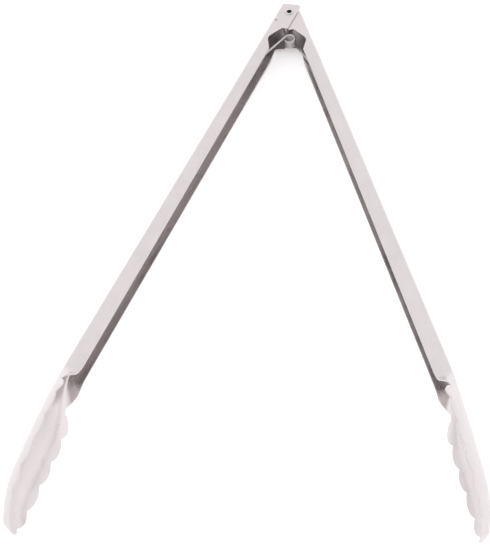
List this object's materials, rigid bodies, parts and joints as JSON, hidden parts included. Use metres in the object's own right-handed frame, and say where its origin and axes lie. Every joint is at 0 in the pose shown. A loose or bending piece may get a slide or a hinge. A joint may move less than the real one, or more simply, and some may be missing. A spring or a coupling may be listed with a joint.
{
  "type": "kitchen tongs",
  "caption": "Spring loaded kitchen tongs: stamped channel arms with dished scalloped heads, a tubular pivot rivet and a torsion spring that holds them open.",
  "frame": {"origin": "on the axis of the pivot rivet, halfway through the hinge", "axes": "+Z along the pivot, up as the tongs lie on their side; +Y from the heads to the pivot, along the line midway between the arms; +X to the right arm"},
  "size_m": [0.26, 0.3927, 0.0436],
  "materials": {
    "arm_steel": "bright satin stainless sheet, brushed along the arm",
    "rivet_steel": "plain stainless rivet, slightly duller than the sheet",
    "spring_steel": "drawn stainless spring wire"
  },
  "bodies": {
    "pivot": {"pivot_rivet": "rivet_steel", "torsion_spring": "spring_steel"},
    "left_arm": {"left_arm": "arm_steel"},
    "right_arm": {"right_arm": "arm_steel"}
  },
  "joints": [
    {"name": "left_arm_hinge", "type": "hinge", "parent": "pivot", "child": "left_arm", "pos_m": [0, 0, 0], "axis": [0, 0, 1], "range_deg": [0, 18], "stiffness_Nm_per_rad": 0.6, "springref_deg": -20.05, "deforming": ["torsion_spring"]},
    {"name": "right_arm_hinge", "type": "hinge", "parent": "pivot", "child": "right_arm", "pos_m": [0, 0, 0], "axis": [0, 0, 1], "range_deg": [-18, 0], "stiffness_Nm_per_rad": 0.6, "springref_deg": 20.05, "deforming": ["torsion_spring"]}
  ],
  "couplings": [
    {"joint": "right_arm_hinge", "follows": "left_arm_hinge", "ratio": -1}
  ]
}
